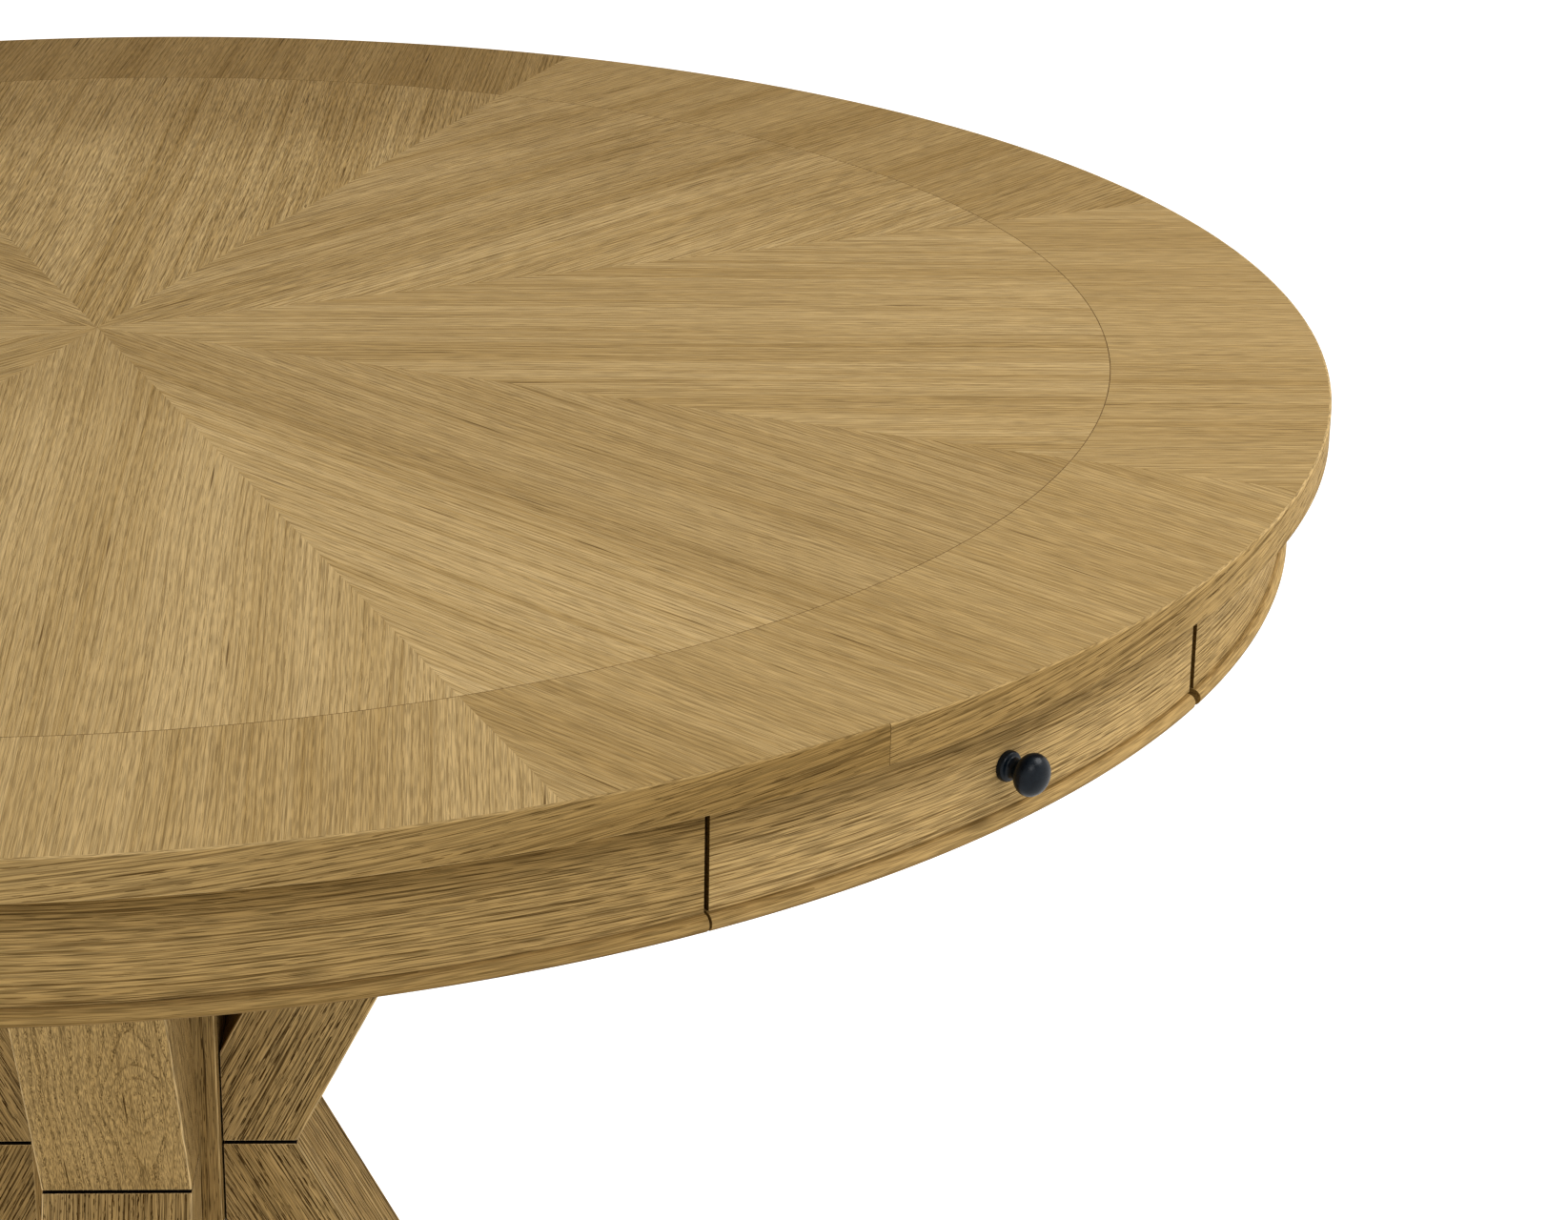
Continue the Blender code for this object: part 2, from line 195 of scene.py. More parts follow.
STRAIGHT = dict(SAWN_FLAT, Light=(0.52, 0.35, 0.14), Rings=(0.0, 230.0, 60.0), Hills=1.5,
                Figure=0.85, Streak=0.5, Lines=1.0, Along=40.0, Across=700.0)

# ---------------------------------------------------------------- studio light

FLOOR_GLOW = 0.70
DOME_HORIZON = 1.02
DOME_ZENITH = 0.38
DOME_BELOW = 0.98
LAMPS = (("side_high", (1.25, -1.35, 2.15), 1.1, 25.0),
         ("front_high", (-0.6, -2.4, 2.5), 1.2, 15.0))
LAMP_AIM = (0.0, 0.0, 0.6)

# ---------------------------------------------------------------- shader helpers


class Tree:
    """Adds nodes to one node tree and links them in the same breath."""

    def __init__(self, tree):
        self.tree = tree

    def add(self, kind, inputs=None, **settings):
        node = self.tree.nodes.new(kind)
        for key, value in settings.items():
            setattr(node, key, value)   # a group's tree comes before its sockets
        for key, value in (inputs or {}).items():
            if isinstance(value, bpy.types.NodeSocket):
                self.tree.links.new(value, node.inputs[key])
            else:
                node.inputs[key].default_value = value
        return node

    def math(self, operation, first, second=0.0, clamp=False):
        inputs = {0: first, 1: second}
        return self.add("ShaderNodeMath", inputs, operation=operation, use_clamp=clamp).outputs[0]

    def place(self):
        """Where a point is, in metres, in the frame of the body it rides on."""
        return self.add("ShaderNodeTexCoord").outputs["Object"]

    def split(self, vector):
        return self.add("ShaderNodeSeparateXYZ", {0: vector}).outputs

    def join(self, x, y, z):
        return self.add("ShaderNodeCombineXYZ", {0: x, 1: y, 2: z}).outputs[0]

    def turn(self, vector, azimuth, origin=(0.0, 0.0, 0.0)):
        """The same point measured from an origin, with X along the azimuth."""
        inputs = {"Vector": vector, "Location": origin, "Rotation": (0.0, 0.0, math.radians(azimuth))}
        return self.add("ShaderNodeMapping", inputs, vector_type="TEXTURE").outputs[0]

    def stretch(self, vector, scale):
        return self.add("ShaderNodeVectorMath", {0: vector, 1: scale}, operation="MULTIPLY").outputs[0]

    def plus(self, vector, other):
        return self.add("ShaderNodeVectorMath", {0: vector, 1: other}, operation="ADD").outputs[0]

    def dot(self, vector, other):
        node = self.add("ShaderNodeVectorMath", {0: vector, 1: other}, operation="DOT_PRODUCT")
        return node.outputs["Value"]

    def noise(self, vector, detail=0.0, roughness=0.5):
        inputs = {"Vector": vector, "Scale": 1.0, "Detail": detail, "Roughness": roughness}
        return self.add("ShaderNodeTexNoise", inputs).outputs[0]

    def wander(self, vector, scale, reach):
        """The vector moved about smoothly, by up to about half of reach."""
        inputs = {"Vector": self.stretch(vector, scale), "Scale": 1.0, "Detail": 1.0, "Roughness": 0.5}
        drift = self.add("ShaderNodeTexNoise", inputs).outputs["Color"]
        return self.plus(vector, self.stretch(self.plus(drift, (-0.5, -0.5, -0.5)), reach))

    def cells(self, vector, dimensions="3D"):
        inputs = {"Vector": vector, "Scale": 1.0, "Randomness": 1.0}
        node = self.add("ShaderNodeTexVoronoi", inputs, voronoi_dimensions=dimensions)
        return node.outputs["Distance"]

    def level(self, value, low, high, to_low=0.0, to_high=1.0):
        """A smooth step: to_low at low, to_high at high."""
        inputs = {"Value": value, "From Min": low, "From Max": high, "To Min": to_low, "To Max": to_high}
        return self.add("ShaderNodeMapRange", inputs, interpolation_type="SMOOTHSTEP").outputs["Result"]

    def mix(self, factor, first, second, blend="MIX"):
        inputs = {0: factor, 6: first, 7: second}   # the node's sockets for two colours
        return self.add("ShaderNodeMix", inputs, data_type="RGBA", blend_type=blend).outputs[2]


def rgba(color, factor=1.0):
    """A colour made darker or paler: darker oak is also the redder and stronger in colour."""
    return (color[0] * factor, color[1] * factor ** 1.18, color[2] * factor ** 1.65, 1.0)


def oak_group():
    """Oak as a node group.  Grain is (along, across, through), in metres."""
    group = bpy.data.node_groups.new("oak", "ShaderNodeTree")
    sockets = (("Grain", "NodeSocketVector", None), ("Light", "NodeSocketColor", rgba(OAK_LIGHT)),
               ("Dark", "NodeSocketColor", rgba(OAK_DARK)), ("Pore", "NodeSocketColor", rgba(OAK_PORE)),
               ("Streak", "NodeSocketFloat", 0.4), ("Figure", "NodeSocketFloat", 0.4),
               ("Fibre", "NodeSocketFloat", 0.35), ("Pores", "NodeSocketFloat", 0.7),
               ("Open", "NodeSocketFloat", 0.0), ("Along", "NodeSocketFloat", 80.0),
               ("Across", "NodeSocketFloat", 1700.0), ("Rings", "NodeSocketVector", (0.0, 380.0, 90.0)),
               ("Hills", "NodeSocketFloat", 2.5), ("Eye", "NodeSocketVector", (0.0, 0.0, 0.0)),
               ("Eyed", "NodeSocketFloat", 0.0), ("Lines", "NodeSocketFloat", 0.75),
               ("Length", "NodeSocketFloat", 75.0))
    for name, kind, default in sockets:
        socket = group.interface.new_socket(name, in_out="INPUT", socket_type=kind)
        if default is not None:
            socket.default_value = default
    for name, kind in (("Color", "NodeSocketColor"), ("Roughness", "NodeSocketFloat"),
                       ("Height", "NodeSocketFloat")):
        group.interface.new_socket(name, in_out="OUTPUT", socket_type=kind)

    t = Tree(group)
    source = t.add("NodeGroupInput").outputs
    sink = t.add("NodeGroupOutput").inputs
    grain = source["Grain"]

    # the fibres wander a little to either side
    bent = t.wander(grain, (2.6, 7.0, 7.0), (0.0, 0.012, 0.012))
    bent = t.wander(bent, (9.0, 60.0, 60.0), (0.0, 0.0014, 0.0014))

    blotch = t.noise(t.stretch(bent, (1.3, 26.0, 26.0)), 2.0, 0.6)
    bands = t.noise(t.stretch(bent, (2.0, 170.0, 170.0)), 4.0, 0.7)
    bands = t.level(bands, 0.32, 0.68)
    fibres = t.noise(t.stretch(bent, t.join(source["Length"], FIBRES_ACROSS, FIBRES_ACROSS)))
    fibres = t.level(fibres, 0.30, 0.70, -0.5, 0.5)

    # year rings: each starts with a sharp dark line and fades, as in a ring-porous wood
    hills = t.noise(t.stretch(bent, (2.4, 12.0, 12.0)), 1.0)
    uneven = t.noise(t.stretch(bent, (2.0, 80.0, 80.0)))
    rings = t.dot(bent, source["Rings"])
    rings = t.math("ADD", rings, t.math("MULTIPLY", hills, source["Hills"]))
    rings = t.math("ADD", rings, t.math("MULTIPLY", uneven, 2.2))

    # or rings round an eye, which open out into straight ones along the grain
    along, aside, _ = t.split(t.stretch(t.plus(bent, source["Eye"]), (1.0 / EYE_LENGTH, 1.0, 1.0)))
    away = t.math("MULTIPLY", along, along)
    away = t.math("DIVIDE", away, t.math("ADD", away, 1.0))
    away = t.math("MULTIPLY", away, EYE_WIDTH * EYE_WIDTH)
    away = t.math("SQRT", t.math("ADD", away, t.math("MULTIPLY", aside, aside)))
    away = t.math("ADD", t.math("DIVIDE", away, EYE_RING), t.math("MULTIPLY", uneven, 0.5))
    rings = t.math("ADD", rings, t.math("MULTIPLY", t.math("SUBTRACT", away, rings), source["Eyed"]))
    ring = t.math("FRACT", rings)
    early = t.level(ring, 0.0, 0.6, 1.0, 0.0)

    tone = t.math("MULTIPLY", bands, source["Streak"])
    tone = t.math("ADD", tone, t.math("MULTIPLY", early, source["Figure"]))
    tone = t.math("ADD", tone, t.level(blotch, 0.3, 0.7, -0.24, 0.24), clamp=True)
    color = t.mix(tone, source["Light"], source["Dark"])

    # thin dark lines, broken along their length: some at the start of a ring, some between
    breaks = t.noise(t.stretch(bent, (16.0, 420.0, 420.0)), 1.0)
    start = t.math("MULTIPLY", t.level(ring, 0.03, 0.15, 1.0, 0.0), t.level(breaks, 0.47, 0.58))
    lines = t.noise(t.stretch(bent, (11.0, 1500.0, 1500.0)))
    lines = t.level(t.math("ADD", lines, t.math("MULTIPLY", early, 0.07)), 0.63, 0.72)
    lines = t.math("MAXIMUM", start, lines)

    # open pores: short dashes in rows
    crowd = t.noise(t.stretch(bent, (7.0, 330.0, 330.0)), 1.0)
    reach = t.math("MULTIPLY", t.level(crowd, 0.30, 0.65, 0.14, 0.34), t.math("ADD", early, 0.45))
    reach = t.math("ADD", reach, source["Open"])
    dashes = t.cells(t.stretch(bent, t.join(source["Along"], source["Across"], source["Across"])))
    dashes = t.level(t.math("SUBTRACT", reach, dashes), -0.02, 0.05)
    pores = t.math("MAXIMUM", dashes, t.math("MULTIPLY", lines, source["Lines"]))
    shade = t.math("MULTIPLY", pores, source["Pores"])

    # now and then a short ragged crack
    crack = t.cells(t.stretch(bent, (1.6, 60.0, 60.0)), "2D")
    crack = t.level(crack, 0.012, 0.030, 1.0, 0.0)
    shade = t.math("MAXIMUM", shade, t.math("MULTIPLY", crack, 0.9))
    color = t.mix(shade, color, source["Pore"])

    gain = t.math("ADD", t.math("MULTIPLY", fibres, source["Fibre"]), 1.0)
    color = t.mix(1.0, color, t.join(gain, gain, gain), "MULTIPLY")

    t.tree.links.new(color, sink["Color"])
    rough = t.math("ADD", t.math("MULTIPLY", pores, 0.16), t.math("MULTIPLY", tone, 0.06))
    t.tree.links.new(t.math("ADD", rough, 0.58), sink["Roughness"])
    relief = t.math("MULTIPLY", fibres, 0.22)
    relief = t.math("SUBTRACT", relief, t.math("MULTIPLY", pores, source["Pores"]))
    t.tree.links.new(relief, sink["Height"])
    return group


OAK = oak_group()


def shader_of(material):
    return material.node_tree.nodes["Principled BSDF"]


def new_material(name):
    material = bpy.data.materials.new(name)
    material.use_nodes = True
    return material, Tree(material.node_tree)


def coat(material, t, color, roughness, height=None, relief=0.0, specular=None):
    """Links a material's colour, roughness and bump to its shader, and sets its gloss."""
    shader = shader_of(material)
    t.tree.links.new(color, shader.inputs["Base Color"])
    t.tree.links.new(roughness, shader.inputs["Roughness"])
    if height is not None:
        bump = t.add("ShaderNodeBump", {"Height": height, "Distance": relief, "Strength": 1.0})
        t.tree.links.new(bump.outputs[0], shader.inputs["Normal"])
    if specular is not None:
        shader.inputs["Specular IOR Level"].default_value = specular
    return material


def grain_space(t, azimuth, tilt, lean, wrap, seed):
    """Grain coordinates of a piece: its own length along X, in the frame it rides in."""
    place = t.turn(t.place(), azimuth)
    if wrap:
        x, y, z = t.split(place)
        along = t.math("MULTIPLY", t.math("ARCTAN2", y, x), TOP_RADIUS)
        radius = t.math("SQRT", t.math("ADD", t.math("MULTIPLY", x, x), t.math("MULTIPLY", y, y)))
        place = t.join(along, z, radius)
    offset = [a * seed for a in SEED_STEP]
    rotation = (0.0, math.radians(tilt), math.radians(lean))
    inputs = {"Vector": place, "Location": offset, "Rotation": rotation}
    return t.add("ShaderNodeMapping", inputs).outputs[0]


def oak_material(name, azimuth=0.0, tilt=0.0, lean=0.0, wrap=False, seed=0.0, tone=1.0,
                 relief=0.00012, stain_and_shade=None, **look):
    """Oak with its grain laid along one piece.  tone scales its three colours, the darkening argument
    makes the factor by which they change over the piece, for stained wood or for painted shade, and
    look holds sockets of the oak group."""
    material, t = new_material(name)
    inputs = {"Grain": grain_space(t, azimuth, tilt, lean, wrap, seed)}
    for key, color in (("Light", OAK_LIGHT), ("Dark", OAK_DARK), ("Pore", OAK_PORE)):
        inputs[key] = rgba(look.pop(key, color), tone)
    inputs.update(look)
    oak = t.add("ShaderNodeGroup", inputs, node_tree=OAK).outputs
    color = oak["Color"]
    if stain_and_shade:
        color = t.mix(stain_and_shade(t), color, rgba((1.0, 1.0, 1.0), STAIN_AND_SHADE_TONE), "MULTIPLY")
    return coat(material, t, color, oak["Roughness"], oak["Height"], relief, 0.02)


def painted_shade_by_height(clear, deep, most):
    """Painted shade that grows from the clear height to the deep one, as in a corner."""
    def stain_and_shade(t):
        z = t.split(t.place())[2]
        if clear < deep:
            return t.level(z, clear, deep, 0.0, most)
        return t.level(z, deep, clear, most, 0.0)
    return stain_and_shade


def painted_crease_shade(crease, width, most, other):
    """Painted shade: a thin uneven dark line at the crease's height, where the corner lies in shade,
    over another painted shade."""
    def stain_and_shade(t):
        place = t.place()
        z = t.split(place)[2]
        away = t.math("ABSOLUTE", t.math("SUBTRACT", z, crease))
        # noise breaks the painted shade into an uneven line
        uneven_shade = t.noise(t.stretch(place, (90.0, 90.0, 300.0)), 2.0, 0.7)
        line = t.level(away, 0.3 * width, width, most, 0.0)
        line = t.math("MULTIPLY", line, t.level(uneven_shade, 0.35, 0.6, 0.55, 1.0))
        return t.math("MAXIMUM", line, other(t))
    return stain_and_shade


def leaf_painted_shade(azimuth, centre, side, outside):
    """Painted shade: a wedge darker near the table's middle, on one side of a line along it, or far out.
    """
    def stain_and_shade(t):
        x, y, _ = t.split(t.turn(t.place(), azimuth))
        near = t.level(x, 0.08, 0.15, centre, 0.0)
        far = t.level(x, 0.28, 0.38, 0.0, outside)
        return t.math("ADD", t.math("ADD", near, far), t.level(y, -0.045, -0.015, 0.0, side))
    return stain_and_shade


def joint_stain(t):
    """The rim band is darker at its joint, most of all on the joint's left."""
    x, y, _ = t.split(t.turn(t.place(), BAND_JOINT + 180.0))
    angle = t.math("DIVIDE", t.math("ARCTAN2", y, x), math.pi)
    right = t.level(angle, -1.0, -0.80, 0.62, 0.0)
    left = t.level(angle, 0.76, 0.98, 0.0, 0.85)
    return t.math("MAXIMUM", right, left)


def ply_material(name, azimuth, origin, flat):
    """Pale plywood: quiet grain on its faces, thin plies on its edges."""
    material, t = new_material(name)
    place = t.turn(t.place(), azimuth, origin)
    _, y, z = t.split(place)
    streak = t.level(t.noise(t.stretch(place, (5.0, 130.0, 130.0)), 3.0, 0.6), 0.3, 0.7)
    color = t.mix(streak, rgba(PLY_LIGHT), rgba(PLY_DARK))
    plies = t.math("PINGPONG", t.math("ADD", z if flat else y, PLY_THICKNESS / 2.0), PLY_THICKNESS)
    plies = t.level(plies, 0.0005, 0.0009)
    color = t.mix(t.math("MULTIPLY", plies, 0.45), color, rgba(PLY_EDGE))
    fleck = t.level(t.cells(t.stretch(place, (90.0, 900.0, 900.0))), 0.10, 0.22, 0.5, 0.0)
    color = t.mix(fleck, color, rgba(PLY_FLECK))
    return coat(material, t, color, t.level(streak, 0.0, 1.0, 0.52, 0.62), streak, 0.0001)


def seam_material():
    """Painted shade: near-black inside of the wings' joints, faintly speckled."""
    material, t = new_material("seam_shadow")
    speckle = t.noise(t.stretch(t.place(), (300.0, 300.0, 300.0)), 2.0)
    color = t.mix(t.level(speckle, 0.3, 0.7), rgba(SEAM_BLACK), rgba(SEAM_BLACK, 2.0))
    return coat(material, t, color, t.level(speckle, 0.3, 0.7, 0.85, 0.95), specular=0.05)


def knob_material():
    """Blue-black satin coat on turned metal, faintly mottled and grained."""
    material, t = new_material("knob_coat")
    place = t.place()
    mottle = t.level(t.noise(t.stretch(place, (420.0, 420.0, 420.0)), 3.0, 0.6), 0.3, 0.75)
    color = t.mix(mottle, rgba(KNOB_DARK), rgba(KNOB_LIGHT))
    fine = t.noise(t.stretch(place, (2600.0, 2600.0, 2600.0)), 1.0)
    return coat(material, t, color, t.level(mottle, 0.0, 1.0, 0.26, 0.36), fine, 0.00004, 0.19)


def glide_material():
    """Dark rough nylon."""
    material, t = new_material("glide_nylon_coat")
    grit = t.noise(t.stretch(t.place(), (700.0, 700.0, 700.0)), 4.0, 0.65)
    color = t.mix(t.level(grit, 0.3, 0.7), rgba(NYLON_DARK), rgba(NYLON_LIGHT))
    return coat(material, t, color, t.level(grit, 0.3, 0.7, 0.5, 0.7), grit, 0.0002)


# ---------------------------------------------------------------- mesh helpers


def add_piece(name, bm, materials, body, smooth=30.0):
    """A finished mesh, with one material or several, as a piece that rides on a body."""
    bmesh.ops.recalc_face_normals(bm, faces=bm.faces)
    mesh = bpy.data.meshes.new(name)
    bm.to_mesh(mesh)
    bm.free()
    mesh.shade_smooth()
    mesh.set_sharp_from_angle(angle=math.radians(smooth))
    for material in materials if isinstance(materials, (list, tuple)) else [materials]:
        mesh.materials.append(material)
    piece = bpy.data.objects.new(name, mesh)
    bpy.context.scene.collection.objects.link(piece)
    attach(piece, body)
    return piece


def soften(piece, width, segments=3, weighted=False, material_index=-1):
    """Rounds the sharp edges, or the weighted ones, and can give the rounding its own material."""
    bevel = piece.modifiers.new("soft edges", "BEVEL")
    bevel.width = width
    bevel.segments = segments
    bevel.limit_method = "WEIGHT" if weighted else "ANGLE"
    bevel.angle_limit = math.radians(40.0)
    bevel.harden_normals = True
    bevel.material = material_index


def swept(section, start, end, step=SWEEP_STEP, cap_index=0):
    """A closed section of (radius, height) points swept round the table's axis."""
    count = max(1, round((end - start) / step))
    bm = bmesh.new()
    loops = []
    for i in range(count + 1):
        angle = math.radians(start + (end - start) * i / count)
        loops.append([bm.verts.new((r * math.cos(angle), r * math.sin(angle), z)) for r, z in section])
    for one, other in zip(loops, loops[1:]):
        for i in range(len(section)):
            j = (i + 1) % len(section)
            bm.faces.new((one[i], one[j], other[j], other[i]))
    for cap in (bm.faces.new(loops[0]), bm.faces.new(list(reversed(loops[-1])))):
        cap.material_index = cap_index
    return bm


def turned(profile, steps):
    """A profile of (radius, height) points, on the axis at both ends, turned about +Z."""
    bm = bmesh.new()
    rings = []
    for r, z in profile:
        if r < 1e-9:
            rings.append([bm.verts.new((0.0, 0.0, z))])
            continue
        ring = []
        for i in range(steps):
            angle = 2.0 * math.pi * i / steps
            ring.append(bm.verts.new((r * math.cos(angle), r * math.sin(angle), z)))
        rings.append(ring)
    for upper, lower in zip(rings, rings[1:]):
        for i in range(steps):
            j = (i + 1) % steps
            corners = [upper[i % len(upper)], lower[i % len(lower)],
                       lower[j % len(lower)], upper[j % len(upper)]]
            bm.faces.new(list(dict.fromkeys(corners)))   # one corner less beside the axis
    return bm


def rectangle(inner, outer, low, high):
    return [(inner, low), (outer, low), (outer, high), (inner, high)]


# ---------------------------------------------------------------- the veneered top


def build_leaf(name, azimuth, inner, outer, material):
    gap = math.degrees(LEAF_GAP / 2.0 / outer)
    section = rectangle(inner, outer, TOP_SURFACE - LEAF_THICKNESS, TOP_SURFACE)
    bm = swept(section, azimuth - LEAF_HALF + gap, azimuth + LEAF_HALF - gap)
    return add_piece(name, bm, material, "table")


def build_top():
    core_radius = TOP_RADIUS - BAND_THICKNESS - LEAF_GAP
    core_head = TOP_SURFACE - LEAF_THICKNESS - LEAF_GAP
    material = oak_material("oak_underside", seed=3.1, tone=0.6, Streak=0.7, Figure=0.3, Fibre=0.3,
                            Pores=0.5)
    profile = [(0.0, core_head), (core_radius, core_head), (core_radius, TOP_UNDERSIDE),
               (0.0, TOP_UNDERSIDE)]
    core = add_piece("top_core", turned(profile, TOP_STEPS), material, "table")
    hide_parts("table_top")

    for number, (azimuth, leaf) in enumerate(LEAVES.items()):
        wedge_tone_and_shade, border_tone_and_shade, wedge_lean, border_lean, pores, streak = leaf
        turn = azimuth + LEAF_TURN
        label = str(number + 1)
        stain_and_shade = leaf_painted_shade(turn, *LEAF_SHADES[azimuth]) if azimuth in LEAF_SHADES else None
        material = oak_material("oak_wedge_" + label, turn + wedge_lean, seed=1.0 + number,
                                tone=wedge_tone_and_shade, Streak=streak, Figure=0.36, Fibre=0.8 * pores,
                                Pores=pores, Across=2300.0, stain_and_shade=stain_and_shade)
        build_leaf("top_wedge_" + label, turn, LEAF_EYE, LINE_RADIUS - LINE_WIDTH / 2.0, material)
        material = oak_material("oak_border_" + label, turn + border_lean, seed=21.3 + number,
                                tone=border_tone_and_shade, Streak=0.48, Figure=0.30, Fibre=0.40,
                                Pores=0.8 * pores, Across=2400.0)
        build_leaf("top_border_" + label, turn, LINE_RADIUS + LINE_WIDTH / 2.0, core_radius, material)

    line = oak_material("oak_line", wrap=True, seed=5.0, Light=LINE_COLOR, Dark=OAK_PORE,
                        Streak=0.8, Figure=0.0, Fibre=0.5, Pores=0.5)
    half = LINE_WIDTH / 2.0 - LEAF_GAP
    section = rectangle(LINE_RADIUS - half, LINE_RADIUS + half,
                        TOP_SURFACE - LEAF_THICKNESS, TOP_SURFACE - LINE_DEPTH)
    almost_round = swept(section, 0.0, 359.99)
    add_piece("top_line", almost_round, line, "table")

    look = {"azimuth": BAND_JOINT + 180.0, "lean": -5.0, "wrap": True, "seed": 7.7,
            "Rings": (0.0, 330.0, 0.0), "Streak": 0.26, "Figure": 0.24, "Fibre": 0.5, "Lines": 0.65}
    # the second material, for the rounded edges, is a paler copy: a painted highlight
    band = (oak_material("oak_rim", tone=0.95, Pores=0.8, stain_and_shade=joint_stain, **look),
            oak_material("oak_rim_edge", tone=1.22, Pores=0.4, stain_and_shade=joint_stain, **look))
    section = [(TOP_RADIUS - BAND_THICKNESS, TOP_UNDERSIDE)]
    for centre, first in ((TOP_UNDERSIDE + BAND_ROUND, -90.0), (TOP_SURFACE - BAND_ROUND, 0.0)):
        for i in range(BAND_ROUND_STEPS + 1):
            angle = math.radians(first + 90.0 * i / BAND_ROUND_STEPS)
            section.append((TOP_RADIUS - BAND_ROUND + BAND_ROUND * math.cos(angle),
                            centre + BAND_ROUND * math.sin(angle)))
    section.append((TOP_RADIUS - BAND_THICKNESS, TOP_SURFACE))
    gap = math.degrees(BAND_JOINT_GAP / 2.0 / TOP_RADIUS)
    bm = swept(section, BAND_JOINT + gap, BAND_JOINT + 360.0 - gap)
    for face in bm.faces:           # its rounded edges are paler: a painted highlight
        middle = face.calc_center_median().z
        if min(TOP_SURFACE - middle, middle - TOP_UNDERSIDE) < 0.7 * BAND_ROUND:
            face.material_index = 1
    add_piece("top_rim", bm, band, "table")


# ---------------------------------------------------------------- apron, drawers and knobs


def bead_section():
    """A strip with a half-round nose that stands out past the apron."""
    middle = (BEAD_LOW.z + BEAD_HIGH.z) / 2.0
    centre = BEAD_RADIUS - BEAD_NOSE
    points = [(APRON_INNER, BEAD_LOW.z)]
    for i in range(BEAD_NOSE_STEPS + 1):
        angle = math.radians(180.0 * i / BEAD_NOSE_STEPS - 90.0)
        points.append((centre + BEAD_NOSE * math.cos(angle), middle + BEAD_NOSE * math.sin(angle)))
    points.append((APRON_INNER, BEAD_HIGH.z))
    return points


def front_material(name, azimuth, seed, tone, crease):
    """A front or panel, with painted shade under the rim and along the crease over its bead."""
    # painted shadow under the rim's overhang
    rim = painted_shade_by_height(TOP_UNDERSIDE - 0.030, TOP_UNDERSIDE - 0.006, 0.9)
    stain_and_shade = painted_crease_shade(BEAD_HIGH.z, 0.0009, crease, rim)
    return oak_material(name, azimuth, wrap=True, seed=seed, tone=tone, stain_and_shade=stain_and_shade,
                        Rings=(0.0, 480.0, 60.0), Hills=3.0, Streak=0.26, Figure=0.24, Fibre=0.6,
                        Pores=0.8, Along=50.0, Across=2000.0, Lines=0.8)


def bead_material(name, azimuth, seed, tone, crease):
    """A bead, with painted shade along its foot and its crease."""
    low = BEAD_LOW.z + 0.0010
    # painted shade on the lower half of the bead's nose
    foot = painted_shade_by_height(low + 0.0025, low, 0.7)
    stain_and_shade = painted_crease_shade(BEAD_HIGH.z, 0.0004, 0.9 * crease, foot)
    return oak_material(name, azimuth, wrap=True, seed=seed, tone=tone, stain_and_shade=stain_and_shade,
                        Rings=(0.0, 300.0, 200.0), Hills=3.0, Streak=0.3, Figure=0.25, Fibre=0.5,
                        Pores=0.4)


def build_front(name, body, azimuth, half, trims, head, material):
    """A bent front or panel.  Its foot stays sharp, because it stands on the bead."""
    section = rectangle(APRON_INNER, APRON_RADIUS, BEAD_HIGH.z + BEAD_CREASE, head)
    bm = swept(section, azimuth - half + trims[0], azimuth + half - trims[1], cap_index=1)
    weight = bm.edges.layers.float.new("bevel_weight_edge")
    for edge in bm.edges:
        foot = max(v.co.z for v in edge.verts) < BEAD_HIGH.z + 0.001
        smooth = edge.calc_face_angle(0.0) < 0.7
        edge[weight] = 0.0 if foot or smooth else 1.0
    front = add_piece(name + "_veneered", bm, (material, SLOT_GRAIN_AND_SHADE), body)
    soften(front, PANEL_ROUND, 2, weighted=True)
    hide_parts(name)


def build_bead(name, body, azimuth, half, trims, material):
    start = azimuth - half + trims[0]
    bm = swept(bead_section(), start, azimuth + half - trims[1], cap_index=1)
    bead = add_piece(name + "_turned", bm, (material, END_GRAIN), body, 50.0)
    soften(bead, BEAD_ROUND, 2)
    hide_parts(name)


def knob_profile(length):
    """A domed head on a waisted neck, over a small round rose, as (radius, height) points."""
    centre = length - KNOB_HEAD_HALF
    points = [(0.0, length)]
    for i in range(1, 25):
        angle = math.radians(90.0 - 6.0 * i)
        points.append((KNOB_HEAD_RADIUS * math.cos(angle), centre + KNOB_HEAD_HALF * math.sin(angle)))
    last_radius, last_height = points[-1]
    for i in range(1, 13):
        share = i / 12.0
        height = last_height + (KNOB_NECK_FOOT - last_height) * share
        narrowing = (last_radius - KNOB_NECK) * (1.0 - share) ** 3
        points.append((KNOB_NECK + narrowing + KNOB_NECK_FLARE * share ** 4, height))
    for i in range(7):
        angle = math.radians(90.0 - 15.0 * i)
        points.append((KNOB_ROSE_RADIUS - KNOB_ROSE_ROUND + KNOB_ROSE_ROUND * math.cos(angle),
                       KNOB_ROSE_ROUND + KNOB_ROSE_ROUND * math.sin(angle)))
    points += [(KNOB_ROSE_RADIUS, 0.0), (0.0, 0.0)]
    return points


